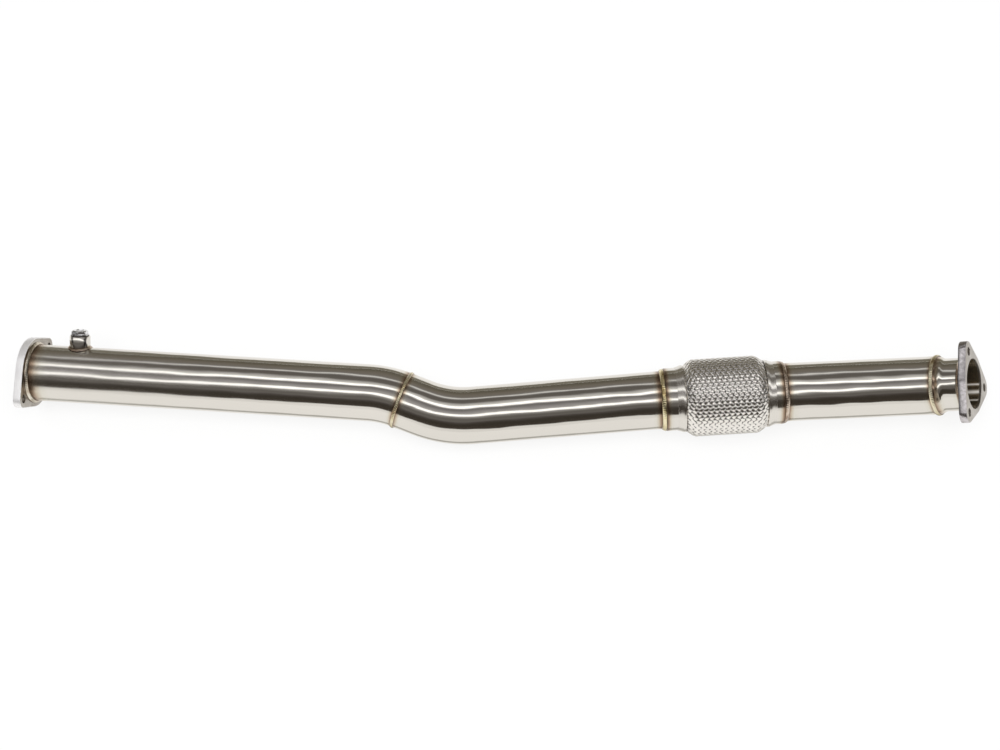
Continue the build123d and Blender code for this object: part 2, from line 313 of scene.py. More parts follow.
def mix_colour(nodes, links, factor, first, second, blend="MIX"):
    mix = nodes.new("ShaderNodeMix")
    mix.data_type = "RGBA"
    mix.blend_type = blend
    for socket, value in ((mix.inputs[0], factor), (mix.inputs[6], first), (mix.inputs[7], second)):
        if isinstance(value, bpy.types.NodeSocket):
            links.new(value, socket)
        elif isinstance(value, tuple):
            socket.default_value = (*value, 1.0)
        else:
            socket.default_value = value
    return mix.outputs[2]


def bump_node(nodes, links, height, strength, distance, normal=None):
    bump = nodes.new("ShaderNodeBump")
    bump.inputs["Strength"].default_value = strength
    bump.inputs["Distance"].default_value = distance
    links.new(height, bump.inputs["Height"])
    if normal is not None:
        links.new(normal, bump.inputs["Normal"])
    return bump.outputs["Normal"]


def mix_shader(nodes, links, factor, first, second):
    mixer = nodes.new("ShaderNodeMixShader")
    for socket, value in zip(mixer.inputs, (factor, first, second)):
        links.new(value, socket)
    return mixer.outputs[0]


STEEL = (0.745, 0.715, 0.665)
# The steel's colour by the heat that it has had: clean, straw, brown, and past brown
TINT = [
    (0.00, STEEL),
    (0.35, (0.72, 0.69, 0.62)),
    (0.55, (0.62, 0.55, 0.45)),
    (0.72, (0.40, 0.30, 0.22)),
    (0.88, (0.22, 0.15, 0.10)),
    (1.00, (0.30, 0.22, 0.14)),
]
# How far the blotches spread the tint, and how steeply they come in where the heat begins
TINT_BLOTCH = 0.22
TINT_RISE = 8.0
# Where along the pipe the polish wears off, in metres: none of it before the first, all of it by the second
WORN = (0.42, 0.08)


def tinted_colour(nodes, links, heat):
    """The steel's colour, with the heat tint in blotches and faint clouds all over."""
    blotch = noise_node(nodes, links, 60.0, 3.0)
    centred = math_node(nodes, links, "SUBTRACT", heat, TINT_BLOTCH / 2)
    spread = math_node(nodes, links, "MULTIPLY_ADD", blotch, TINT_BLOTCH, centred)
    reached = math_node(nodes, links, "MINIMUM", math_node(nodes, links, "MULTIPLY", heat, TINT_RISE), 1.0)
    tint = ramp_node(nodes, TINT)
    links.new(math_node(nodes, links, "MULTIPLY", spread, reached), tint.inputs["Fac"])
    clouds = noise_node(nodes, links, 9.0, 4.0, (0.35, 1.0, 1.0))
    shade = nodes.new("ShaderNodeVectorMath")
    shade.operation = "SCALE"
    links.new(tint.outputs["Color"], shade.inputs[0])
    links.new(range_node(nodes, links, clouds, 0.93, 1.04), shade.inputs["Scale"])
    return shade.outputs["Vector"]


def worn_share(nodes, links, wear):
    """How much duller the polish is, rising from none towards the outlet end."""
    coords = nodes.new("ShaderNodeTexCoord")
    split = nodes.new("ShaderNodeSeparateXYZ")
    links.new(coords.outputs["Object"], split.inputs[0])
    return range_node(nodes, links, split.outputs["X"], 0.0, wear, *WORN)


def polished_steel(name, roughness=0.05, wear=0.10):
    """Bright tube: long soft waves in its reflections, hairline polishing marks, heat tint by the welds.
    The wear is how much duller the outlet end is."""
    material, nodes, links, shader = new_material(name)
    shader.inputs["Metallic"].default_value = 1.0
    heat = heat_and_shine_socket(nodes)
    links.new(tinted_colour(nodes, links, heat), shader.inputs["Base Color"])
    heated = range_node(nodes, links, heat, roughness, roughness + 0.12)
    smear = range_node(nodes, links, noise_node(nodes, links, 25.0, 5.0, (0.15, 1.0, 1.0)), -0.04, 0.08)
    smeared = math_node(nodes, links, "ADD", heated, smear)
    duller = math_node(nodes, links, "ADD", smeared, worn_share(nodes, links, wear))
    links.new(duller, shader.inputs["Roughness"])
    waves = bump_node(nodes, links, noise_node(nodes, links, 18.0, 2.0, (0.35, 1.0, 1.0)), 0.7, 0.0030)
    peel = bump_node(nodes, links, noise_node(nodes, links, 60.0, 2.0, (0.25, 1.0, 1.0)), 0.5, 0.0004, waves)
    lines = noise_node(nodes, links, 900.0, 2.0, (0.02, 1.0, 1.0))
    links.new(bump_node(nodes, links, lines, 0.10, 0.00005, peel), shader.inputs["Normal"])
    return material


def weld_metal(name, dark, middle, light):
    """Tinted bead, brown in its hollows."""
    material, nodes, links, shader = new_material(name)
    shader.inputs["Metallic"].default_value = 1.0
    patches = noise_node(nodes, links, 70.0, 3.0)
    tone = ramp_node(nodes, [(0.32, dark), (0.48, middle), (0.72, light)])
    links.new(patches, tone.inputs["Fac"])
    hollow = ramp_node(nodes, [(0.30, (0.0, 0.0, 0.0)), (0.72, (1.0, 1.0, 1.0))])
    links.new(heat_and_shine_socket(nodes), hollow.inputs["Fac"])
    colour = mix_colour(nodes, links, hollow.outputs["Color"], (0.16, 0.10, 0.06), tone.outputs["Color"])
    links.new(colour, shader.inputs["Base Color"])
    links.new(range_node(nodes, links, patches, 0.14, 0.30), shader.inputs["Roughness"])
    return material


def plate_metal(name, light, dark, roughness, mottle=45.0, metallic=1.0):
    """Cut plate in two tones, with a fine grain."""
    material, nodes, links, shader = new_material(name)
    shader.inputs["Metallic"].default_value = metallic
    patches = ramp_node(nodes, [(0.36, (0.0, 0.0, 0.0)), (0.64, (1.0, 1.0, 1.0))])
    links.new(noise_node(nodes, links, mottle, 5.0), patches.inputs["Fac"])
    links.new(mix_colour(nodes, links, patches.outputs["Color"], dark, light), shader.inputs["Base Color"])
    grain = noise_node(nodes, links, 500.0, 4.0)
    rough = range_node(nodes, links, grain, roughness - 0.06, roughness + 0.08)
    links.new(rough, shader.inputs["Roughness"])
    links.new(bump_node(nodes, links, grain, 0.25, 0.00008), shader.inputs["Normal"])
    return material


def dull_metal(name, base, roughness):
    """Dull metal, for the washer, and for what shows through the braid or down the bore, where it is given a
    near-black colour as painted shade.
    """
    material, nodes, links, shader = new_material(name)
    shader.inputs["Metallic"].default_value = 1.0
    patches = noise_node(nodes, links, 80.0, 4.0)
    darker = tuple(channel * 0.6 for channel in base)
    links.new(mix_colour(nodes, links, patches, darker, base), shader.inputs["Base Color"])
    rough = range_node(nodes, links, patches, roughness - 0.05, roughness + 0.10)
    links.new(rough, shader.inputs["Roughness"])
    return material


def lining_metal(name):
    """The tube's inside: olive painted in for the many reflections, with painted highlights as brighter
    streaks along it.
    """
    material, nodes, links, shader = new_material(name)
    # Where the painted highlights lie, the lining turns white and less metallic
    painted_streaks = heat_and_shine_socket(nodes)
    colour = mix_colour(nodes, links, painted_streaks, (0.50, 0.42, 0.30), (1.0, 0.98, 0.95))
    links.new(colour, shader.inputs["Base Color"])
    links.new(range_node(nodes, links, painted_streaks, 0.965, 0.0), shader.inputs["Metallic"])
    shader.inputs["Roughness"].default_value = 0.2
    return material


def wire_metal(name):
    """Bright drawn wire, a little duller from one strand to the next."""
    material, nodes, links, shader = new_material(name)
    shader.inputs["Metallic"].default_value = 1.0
    patches = noise_node(nodes, links, 120.0, 3.0)
    colour = mix_colour(nodes, links, patches, (0.76, 0.73, 0.69), (0.95, 0.92, 0.88))
    links.new(colour, shader.inputs["Base Color"])
    links.new(range_node(nodes, links, patches, 0.15, 0.26), shader.inputs["Roughness"])
    return material


tube_steel = polished_steel("tube_steel")
collar_steel = polished_steel("collar_steel", 0.08)
cap_steel = polished_steel("cap_steel", 0.16)
bung_steel = polished_steel("bung_steel", 0.08, wear=0.0)
bore_steel = lining_metal("bore_steel")
braid_steel = wire_metal("braid_steel")
# Near black: painted shade on the bellows and liner, seen through the braid and down the bore
painted_shade_inner_steel = dull_metal("painted_shade_inner_steel", (0.13, 0.12, 0.11), 0.5)
washer_metal = dull_metal("washer_metal", (0.24, 0.22, 0.21), 0.35)
plug_chrome = plate_metal("plug_chrome", (0.86, 0.86, 0.87), (0.70, 0.70, 0.71), 0.08)
weld_straw = weld_metal("weld_straw", (0.50, 0.38, 0.22), (0.78, 0.69, 0.47), (0.88, 0.83, 0.68))
weld_gold = weld_metal("weld_gold", (0.56, 0.42, 0.20), (0.84, 0.73, 0.44), (0.90, 0.84, 0.62))
weld_grey = weld_metal("weld_grey", (0.40, 0.32, 0.25), (0.62, 0.55, 0.45), (0.86, 0.82, 0.71))
weld_brown = weld_metal("weld_brown", (0.38, 0.28, 0.21), (0.64, 0.53, 0.43), (0.80, 0.74, 0.66))
outlet_finishes = (
    plate_metal("outlet_edge_steel", (0.92, 0.91, 0.91), (0.84, 0.83, 0.83), 0.40, metallic=0.62),
    plate_metal("outlet_face_steel", (0.80, 0.79, 0.77), (0.64, 0.61, 0.56), 0.22),
    plate_metal("outlet_back_steel", (0.47, 0.44, 0.40), (0.30, 0.27, 0.23), 0.24),
)
inlet_face_steel = plate_metal("inlet_face_steel", (0.54, 0.51, 0.47), (0.40, 0.37, 0.33), 0.36)
inlet_finishes = (
    plate_metal("inlet_edge_steel", (0.64, 0.61, 0.62), (0.48, 0.455, 0.46), 0.22, mottle=260.0),
    inlet_face_steel,
    inlet_face_steel,
)
# The bellows and liner take the painted shade
for node_name in ("flex_bellows", "flex_liner"):
    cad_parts[node_name].data.materials.clear()
    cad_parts[node_name].data.materials.append(painted_shade_inner_steel)


# Tubes


def heat_along(hot, along):
    """Heat at a place along a tube, from welds given as (place, reach)."""
    return max([near(along - place, reach) for place, reach in hot] + [0.0])


def spaced(start, end, step):
    count = max(1, math.ceil((end - start) / step))
    return [start + (end - start) * k / count for k in range(count + 1)]


# The distances between a tube's rings, away from the welds and near them
RING_STEP = 6.0
HOT_STEP = 3.0


def pipe_piece(name, section, start, end, hot, node):
    """A tube whose centreline is given by a function from distance to station."""
    places = spaced(start, end, RING_STEP)
    for weld, reach in hot:
        places += [place for place in spaced(weld - reach, weld + reach, HOT_STEP) if start < place < end]
    places = sorted(set(places))
    rings = [ring_at(section(place), 0, TUBE_R) for place in places]
    rings += [ring_at(section(place), 0, TUBE_R - TUBE_WALL) for place in reversed(places)]
    heats = [heat_along(hot, place) for place in places] + [0.0] * len(places)
    stand_in(closed_tube(name, rings, heats, tube_steel, lining=bore_steel), node)


ARC_ONE = BEND_R * math.radians(BEND_ONE)
ARC_TWO = BEND_R * math.radians(BEND_TWO)


def outlet_section(along):
    if along <= OUTLET_STRAIGHT:
        return outlet_back.moved(along)
    return bend_one_start.bent(-min(BEND_ONE, BEND_ONE * (along - OUTLET_STRAIGHT) / ARC_ONE))


def middle_section(along):
    if along <= BETWEEN_BENDS:
        return middle_start.moved(along)
    if along <= BETWEEN_BENDS + ARC_TWO:
        return bend_two_start.bent(BEND_TWO * (along - BETWEEN_BENDS) / ARC_TWO)
    return bend_two_end.moved(along - BETWEEN_BENDS - ARC_TWO)


outlet_length = OUTLET_STRAIGHT + ARC_ONE
middle_length = BETWEEN_BENDS + ARC_TWO + MIDDLE_STRAIGHT
# The welds along each tube, as (place, how far their heat reached)
outlet_hot = [(0.0, 30.0), (outlet_length, 12.0)]
middle_hot = [(0.0, 12.0), (middle_length - 2.0, 13.0)]
pipe_piece("outlet_tube_wall", outlet_section, SEAT_GAP - SOCKET, outlet_length, outlet_hot, "outlet_tube")
pipe_piece("middle_tube_wall", middle_section, 0.0, middle_length + INSERT, middle_hot, "middle_tube")


def cut_length(angle, radius):
    """How far the inlet tube runs at an angle around it before the oblique cut."""
    normal = cut_start.axes.col[0]
    foot = inlet_start.point(0, radius, angle)
    return (cut_start.origin - foot).dot(normal) / inlet_start.axes.col[0].dot(normal)


def inlet_rings(radius, places):
    rings = []
    for place in places:
        ring = []
        for k in range(ROUND):
            angle = math.tau * k / ROUND
            end = cut_length(angle, radius)
            ring.append(inlet_start.point((end + INSERT) * place - INSERT, radius, angle))
        rings.append(ring)
    return rings


# The inlet tube's rings, as shares of its length, closer by the welds
inlet_places = [0.0, 0.03, 0.06, 0.1, 0.14, 0.2] + [0.2 + 0.6 * k / 20 for k in range(1, 20)]
inlet_places += [0.80, 0.84, 0.88, 0.91, 0.94, 0.97, 1.0]
inlet_span = INLET_STRAIGHT + INSERT
inlet_hot = [(INSERT, 16.0), (inlet_span, 11.0)]
inlet_heat = [heat_along(inlet_hot, place * inlet_span) for place in inlet_places]
inlet_shape = inlet_rings(TUBE_R, inlet_places) + inlet_rings(TUBE_R - TUBE_WALL, inlet_places[::-1])
inlet_heat += [0.0] * len(inlet_heat)
inlet_tube = closed_tube("inlet_tube_wall", inlet_shape, inlet_heat, tube_steel, lining=bore_steel)
stand_in(inlet_tube, "inlet_tube")


# Neck

OVAL = TUBE_R / math.cos(math.radians(CUT_TILT))


def neck_ring(along, thickness):
    """A ring of the neck: the tube's oval cut at 0, drawn in to the round stub by the end of the taper."""
    ring = []
    share = min(1.0, along / NECK_TAPER)
    drawn = share * share * (3 - 2 * share)
    axis = neck_start.axes.col[0]
    for k in range(ROUND):
        angle = math.tau * k / ROUND
        side = cut_start.axes.col[1] * math.cos(angle) * (TUBE_R - thickness)
        oval = cut_start.origin + side + cut_start.axes.col[2] * math.sin(angle) * (OVAL - thickness)
        step = neck_start.point(max(along, NECK_TAPER), NECK_R - thickness, angle) - oval
        forward = axis * step.dot(axis)
        ring.append(oval + forward * share + (step - forward) * drawn)
    return ring


neck_places = spaced(0.0, NECK_TAPER, 1.5) + spaced(NECK_TAPER, NECK_LENGTH + SOCKET - SEAT_GAP, 3.0)[1:]
neck_shape = [neck_ring(place, 0.0) for place in neck_places]
neck_shape += [neck_ring(place, NECK_WALL) for place in reversed(neck_places)]
neck_heat = [max(near(place, 15.0), near(place - NECK_LENGTH, 10.0) * 0.7) for place in neck_places]
neck_heat += neck_heat[::-1]
inlet_neck = closed_tube("neck_wall", neck_shape, neck_heat, tube_steel, lining=bore_steel)
stand_in(inlet_neck, "inlet_neck")


def paint_bore_highlights(obj, rings):
    """Painted highlights: bright streaks that run along the bore, stored where the lining's material reads
    them.
    """
    chance = random.Random(11)
    # Each painted highlight's place around the bore and its half width in degrees, and its strength
    painted_streaks = [(-91.7, 3.4, 1.0), (-109.5, 7.0, 1.0), (-131.0, 3.4, 0.9)]
    for _ in range(9):
        painted_streaks.append((chance.uniform(0.0, 170.0), chance.uniform(1.5, 5.0), chance.uniform(0.3, 0.9)))
    layer = obj.data.attributes[HEAT_AND_SHINE]
    for ring in range(rings, 2 * rings):
        for k in range(ROUND):
            angle = 360.0 * k / ROUND
            angle = angle - 360.0 if angle > 180.0 else angle
            shine = max(strength * near(angle - place, width) for place, width, strength in painted_streaks)
            layer.data[ring * ROUND + k].value = shine


# The neck's bore gets its painted highlights
paint_bore_highlights(inlet_neck, len(neck_places))


# Welds


# A ripple: how far it bows at its middle, and how much of it is its steep front
RIPPLE_BOW = 0.45
RIPPLE_FRONT = 0.12
RIPPLE_POINTS = 5
# The shares of a bead's crown that are even, stepped by the ripples, and wandering along the seam
CROWN_EVEN = 0.66
CROWN_STEP = 0.36
CROWN_WANDER = 0.14
CROWN_FULLNESS = 0.62
# How the bead's width wanders, as a share, and how the bead itself does, in millimetres
WIDTH_WANDER = 0.10
SEAM_WANDER = 0.25
# The bead's underside: how near it lies to the toes, as a share, and how deep in the corner
UNDER_REACH = 0.9
UNDER_DEPTH = 0.25


def bead(name, rim, start, end, bulge, ripples, node, seed, steel):
    """A rippled weld bead. The rim gives, for an angle, a point on the metal with its along and outward
    directions. The start and end are the bead's toes as (along, outward), and the bulge is its crown."""
    chance = random.Random(seed)
    swell = [(chance.uniform(0.5, 1.0), chance.uniform(0, math.tau), lobe) for lobe in (2, 3, 5, 9)]
    steps = ripples * RIPPLE_POINTS
    across = 9
    toe_a, toe_b = Vector(start), Vector(end)
    chord = toe_b - toe_a
    crown = Vector((-chord.y, chord.x)).normalized()
    if crown.y < 0:
        crown = -crown
    verts, heat, faces = [], [], []
    size = across + 2
    for k in range(steps):
        angle = math.tau * k / steps
        point, along, out = rim(angle)
        wander = sum(amount * math.sin(lobe * angle + phase) for amount, phase, lobe in swell) / len(swell)
        for j in range(across):
            off = 2 * j / (across - 1) - 1
            phase = (angle / math.tau * ripples + RIPPLE_BOW * (1 - off * off)) % 1.0
            step = 1.0 - phase if phase > RIPPLE_FRONT else phase / RIPPLE_FRONT
            level = CROWN_EVEN + CROWN_STEP * step + CROWN_WANDER * wander
            height = bulge * (1 - off * off) ** CROWN_FULLNESS * level
            place = (toe_a + toe_b) / 2 + chord / 2 * off * (1 + WIDTH_WANDER * wander) + crown * height
            place.x += SEAM_WANDER * wander
            verts.append(point + along * place.x + out * place.y)
            heat.append((0.25 + 0.75 * (1 - off**4)) * (0.62 + 0.38 * step))
        for toe in (toe_b, toe_a):
            base = toe * UNDER_REACH - crown * UNDER_DEPTH
            verts.append(point + along * base.x + out * base.y)
            heat.append(0.0)
    for k in range(steps):
        nxt = (k + 1) % steps
        for j in range(size):
            after = (j + 1) % size
            faces.append((k * size + j, k * size + after, nxt * size + after, nxt * size + j))
    stand_in(make_object(name, verts, faces, steel, 70.0, heat), node)


def round_rim(station, radius):
    def rim(angle):
        point = station.point(0, radius, angle)
        return point, station.axes.col[0].copy(), (point - station.origin).normalized()

    return rim


def oval_rim(angle):
    side, rise = cut_start.axes.col[1], cut_start.axes.col[2]
    point = cut_start.origin + side * math.cos(angle) * TUBE_R + rise * math.sin(angle) * OVAL
    out = (side * math.cos(angle) / TUBE_R + rise * math.sin(angle) / OVAL).normalized()
    return point, cut_start.axes.col[0].copy(), out


def bung_axis():
    """A station whose x stands along the sensor boss, away from the pipe's axis."""
    base = outlet_face.moved(BUNG_ALONG).turned(roll=BUNG_LEAN)
    columns = (base.axes.col[1], base.axes.col[0], -base.axes.col[2])
    return Station(base.origin, Matrix(columns).transposed())


def saddle(station, angle, radius):
    """How far along the boss the tube's surface lies, at an angle and radius around the boss."""
    out = station.axes.col[1] * math.cos(angle) + station.axes.col[2] * math.sin(angle)
    sideways = (out * radius).dot(station.axes.col[2])
    return math.sqrt(max(0.0, TUBE_R**2 - sideways**2))


boss = bung_axis()


def boss_rim(angle):
    out = boss.axes.col[1] * math.cos(angle) + boss.axes.col[2] * math.sin(angle)
    point = boss.origin + boss.axes.col[0] * saddle(boss, angle, BUNG_R) + out * BUNG_R
    return point, boss.axes.col[0].copy(), out


outlet_rim, inlet_rim = round_rim(outlet_back, TUBE_R), round_rim(inlet_back, NECK_R)
flex_rims = round_rim(flex_start, TUBE_R), round_rim(flex_end, TUBE_R)
bend_rim = round_rim(bend_one_end, TUBE_R)
# Each bead's name, rim, two toes, crown, count of ripples, node, seed and metal
bead("outlet_flange_bead", outlet_rim, (3.8, 0.0), (0.0, 3.6), 0.9, 96, "outlet_flange_weld", 3, weld_grey)
bead("bend_bead", bend_rim, (-2.5, 0.0), (2.5, 0.0), 1.35, 100, "bend_weld", 4, weld_straw)
bead("flex_outlet_bead", flex_rims[0], (-3.2, -0.1), (2.8, 2.6), 1.0, 90, "flex_outlet_weld", 5, weld_gold)
bead("flex_inlet_bead", flex_rims[1], (-2.8, 2.6), (3.2, -0.1), 1.0, 90, "flex_inlet_weld", 6, weld_brown)
bead("neck_bead", oval_rim, (-2.9, 0.4), (2.9, -0.3), 1.7, 104, "neck_weld", 7, weld_straw)
bead("inlet_flange_bead", inlet_rim, (-4.4, 0.0), (0.0, 4.2), 0.8, 84, "inlet_flange_weld", 8, weld_brown)
bead("bung_bead", boss_rim, (2.4, 0.0), (-0.1, 2.6), 0.5, 44, "sensor_bung_weld", 9, weld_brown)


# Sensor boss, washer and plug

BUNG_TOP = TUBE_R + BUNG_HEIGHT
BUNG_BORE = 9.0
WASHER_BORE, WASHER_R = 9.1, 12.0
SHANK_R = 8.85
SHANK_LENGTH = 16.0
SHANK_POINT_R = 7.8
PLUG_FLANGE_R = 11.5
PLUG_FLANGE = 1.5
PLUG_HALF_FLAT = 9.5
PLUG_HEAD = 4.8
# The head's turned chamfer, as (below the top, inside the hexagon's corners), and the recess in its top
PLUG_CHAMFER = [(1.8, 0.0), (1.35, 0.45), (0.9, 0.9), (0.45, 1.5), (0.0, 2.3)]
RECESS_R = 5.6
RECESS_DEPTH = 0.8


def boss_body():
    size = 96
    # Height and radius of each ring: the first three and the last stand over the tube's surface
    foot = [(SEAT_GAP, BUNG_R), (3.5, BUNG_R), (5.0, BUNG_R)]
    levels = [(BUNG_TOP - 1.0, BUNG_R), (BUNG_TOP - 0.3, BUNG_R - 0.35), (BUNG_TOP, BUNG_R - 1.0)]
    levels += [(BUNG_TOP, BUNG_BORE + 0.4), (BUNG_TOP - 0.6, BUNG_BORE)]
    levels = foot + levels + [(SEAT_GAP, BUNG_BORE)]
    rings = []
    for level, radius in levels:
        ring = []
        for k in range(size):
            angle = math.tau * k / size
            height = saddle(boss, angle, radius) + level if level < BUNG_HEIGHT else level
            ring.append(boss.point(height, radius, angle))
        rings.append(ring)
    heats = [0.75, 0.62] + [0.0] * (len(levels) - 2)
    return closed_tube("boss_body", rings, heats, bung_steel)


def washer_ring():
    top = BUNG_TOP + WASHER_T
    profile = [(BUNG_TOP, WASHER_BORE), (BUNG_TOP, WASHER_R), (top, WASHER_R), (top, WASHER_BORE)]
    return lathe("washer_ring", boss, rounded(profile, 0.5), washer_metal, size=96)


def plug_body():
    """Hexagon head with a turned chamfer over a round flange and a threaded shank."""
    size = 144
    seat = BUNG_TOP + WASHER_T
    over = seat + PLUG_FLANGE
    top = over + PLUG_HEAD
    corner = PLUG_HALF_FLAT / math.cos(math.pi / 6)
    tip = seat - SHANK_LENGTH
    shank = [(tip, SHANK_POINT_R), (tip + 1.0, SHANK_R), (seat, SHANK_R)]
    flange = [(seat, PLUG_FLANGE_R - 0.3), (seat + 0.3, PLUG_FLANGE_R), (over - 0.4, PLUG_FLANGE_R)]
    flange += [(over, PLUG_FLANGE_R - 0.4)]
    head = [(over, corner)] + [(top - below, corner - inside) for below, inside in PLUG_CHAMFER]
    recess = [(top, RECESS_R), (top - RECESS_DEPTH, RECESS_R - 0.4)]
    levels = shank + flange + head + recess
    hexed = range(len(shank + flange), len(shank + flange + head))
    verts = []
    for level, (height, radius) in enumerate(levels):
        for k in range(size):
            angle = math.tau * k / size
            fold = (angle + math.pi / 6) % (math.pi / 3) - math.pi / 6
            reach = min(radius, PLUG_HALF_FLAT / math.cos(fold)) if level in hexed else radius
            verts.append(boss.point(height, reach, angle))
    faces = loops_to_faces(len(levels), size, False)
    faces.append(tuple(range(size)))
    last = (len(levels) - 1) * size
    faces.append(tuple(last + k for k in range(size)))
    return make_object("plug_body", verts, faces, plug_chrome, 25.0)


stand_in(boss_body(), "sensor_bung")
stand_in(washer_ring(), "plug_washer")
stand_in(plug_body(), "sensor_plug")


# Flanges


# How far the plates' outlines stay inside the solids', so that nothing passes their box
PLATE_INSET = 0.25
# The softened corners of the plates' edges, bores and bolt holes
PLATE_EDGE = 0.8
BORE_EDGE = 0.4
HOLE_EDGE = 0.35


def hull_outline(circles, count=240):
    """The outline around circles of (x, y, radius), as points at even directions on each rounded corner."""
    points = []
    for k in range(count):
        angle = math.tau * k / count
        way = Vector((math.cos(angle), math.sin(angle)))
        x, y, radius = max(circles, key=lambda circle: Vector(circle[:2]).dot(way) + circle[2])
        points.append(Vector((x, y)) + way * (radius - PLATE_INSET))
    return points


def plate_body(name, station, spin, circles, tube, wall, holes, side, finishes):
    """A plate flange: an outline with softened rims, a bore with a socket behind it, and bolt holes.
    The station is on the gasket face and side is +1 where the pipe lies further along.
    The finishes are those of the edge, of the gasket face, and of the pipe's side and the holes."""
    outline = hull_outline(circles)
    bore, socket = tube - wall, tube + SOCKET_CLEAR
    mesh = bpy.data.meshes.new(name)
    work = bmesh.new()
    turn = Matrix.Rotation(math.radians(spin), 2)

    def put(flat, depth):
        p = turn @ Vector(flat)
        across = station.axes.col[1] * p.x + station.axes.col[2] * p.y
        return work.verts.new((station.origin + across + station.axes.col[0] * side * depth) * MM)

    def circle(centre, radius, depth, size):
        ring = []
        for k in range(size):
            angle = math.tau * k / size
            across, rise = radius * math.cos(angle), radius * math.sin(angle)
            ring.append(put((centre[0] + across, centre[1] + rise), depth))
        return ring

    def outline_ring(inset, depth):
        ring = []
        count = len(outline)
        for k in range(count):
            along = (outline[(k + 1) % count] - outline[k - 1]).normalized()
            ring.append(put(outline[k] - Vector((along.y, -along.x)) * inset, depth))
        return ring

    def join(first, second, finish):
        count = len(first)
        for k in range(count):
            quad = (first[k], first[(k + 1) % count], second[(k + 1) % count], second[k])
            work.faces.new(quad).material_index = finish

    def cap_face(outer, inners, finish):
        loops = [outer] + inners
        edges = []
        for loop in loops:
            for k in range(len(loop)):
                a, b = loop[k], loop[(k + 1) % len(loop)]
                edges.append(work.edges.get((a, b)) or work.edges.new((a, b)))
        filled = bmesh.ops.triangle_fill(work, use_beauty=True, use_dissolve=False, edges=edges)
        for part in filled["geom"]:
            if isinstance(part, bmesh.types.BMFace):
                part.material_index = finish

    def joined(rings, finish):
        for first, second in zip(rings, rings[1:]):
            join(first, second, finish)
        return rings

    # Each corner as (inset, distance from the face), from the face to the edge
    corner = [(PLATE_EDGE, 0.0), (PLATE_EDGE * 0.3, PLATE_EDGE * 0.25), (0.0, PLATE_EDGE)]
    sides = [outline_ring(inset, depth) for inset, depth in corner]
    sides += [outline_ring(inset, PLATE - depth) for inset, depth in reversed(corner)]
    joined(sides, 0)
    step = PLATE - SOCKET
    steps = [(bore + BORE_EDGE, 0.0), (bore, BORE_EDGE), (bore, step), (socket, step), (socket, PLATE)]
    bores = joined([circle((0, 0), radius, depth, ROUND) for radius, depth in steps], 2)
    steps = [(BOLT_R + HOLE_EDGE, 0.0), (BOLT_R, HOLE_EDGE)]
    steps += [(radius, PLATE - depth) for radius, depth in reversed(steps)]
    bolts = [joined([circle(hole, radius, depth, 48) for radius, depth in steps], 2) for hole in holes]
    cap_face(sides[0], [bores[0]] + [rings[0] for rings in bolts], 1)
    cap_face(sides[-1], [bores[-1]] + [rings[-1] for rings in bolts], 2)
    shade(work, 30.0)
    work.to_mesh(mesh)
    work.free()
    return add_object(name, mesh, finishes)


OUTLET_BODY_R = 47.0
OUTLET_LOBE_R = 12.5
OUTLET_HALF_SPACING = 51.5
OUTLET_LOBE_ANGLE = 24.0
INLET_BODY_R = 39.5
INLET_LOBE_R = 13.5
INLET_PCR = 45.25
INLET_TURN = 7.0

outlet_holes = [(OUTLET_HALF_SPACING, 0), (-OUTLET_HALF_SPACING, 0)]
outlet_circles = [(0, 0, OUTLET_BODY_R)] + [(x, y, OUTLET_LOBE_R) for x, y in outlet_holes]
outlet_plate = plate_body(
    "outlet_plate",
    outlet_face,
    -(OUTLET_LOBE_ANGLE + LIE_ROLL),
    outlet_circles,
    TUBE_R,
    TUBE_WALL,
    outlet_holes,
    1,
    outlet_finishes,
)
stand_in(outlet_plate, "outlet_flange")

inlet_angles = [math.tau * k / 3 for k in range(3)]
inlet_holes = [(INLET_PCR * math.cos(angle), INLET_PCR * math.sin(angle)) for angle in inlet_angles]
inlet_circles = [(0, 0, INLET_BODY_R)] + [(x, y, INLET_LOBE_R) for x, y in inlet_holes]
inlet_plate = plate_body(
    "inlet_plate",
    inlet_face,
    -(90.0 + INLET_TURN),
    inlet_circles,
    NECK_R,
    NECK_WALL,
    inlet_holes,
    -1,
    inlet_finishes,
)
stand_in(inlet_plate, "inlet_flange")


# Flexible joint


COLLAR_START = 3.0
# The cap's skirt that lies along the collar, and its rim's flat top
CAP_SKIRT = CAP_LENGTH * 1.5
CAP_FLAT = CAP_LENGTH * 0.45


def collar_piece(name, station, length, node):
    inner = TUBE_R + COLLAR_CLEAR
    top = [(along, COLLAR_R) for along in (COLLAR_START, 6.0, 9.0, 12.0, length)]
    profile = rounded([(COLLAR_START, inner)] + top + [(length, inner)], 0.7)
    stand_in(lathe(name, station, profile, collar_steel, hot=(2.0, 11.0)), node)


def cap_piece(name, station, length, node):
    start = length - CAP_SKIRT
    seat = COLLAR_R + SEAT_GAP
    profile = [
        (start, seat),
        (length, seat),
        (length, CAP_R),
        (length - CAP_FLAT, CAP_R),
        (start + 2.5, seat + 0.9),
        (start, seat + 0.25),
    ]
    stand_in(lathe(name, station, rounded(profile, 0.9), cap_steel), node)


collar_piece("outlet_collar", flex_start, OUTLET_COLLAR, "flex_outlet_collar")
collar_piece("inlet_collar", flex_back, INLET_COLLAR, "flex_inlet_collar")
cap_piece("outlet_cap", flex_start, OUTLET_COLLAR, "flex_outlet_cap")
cap_piece("inlet_cap", flex_back, INLET_COLLAR, "flex_inlet_cap")

STRANDS = 28
STRAND_PITCH = 6.97
STRAND_WIRES = 4
# How much of the room between its neighbours a strand fills, how thick it is, and how its sides fall away
STRAND_FILL = 0.78
STRAND_DEPTH = 0.75
STRAND_CROWN = 0.4
WIRE_GROOVE = 0.045
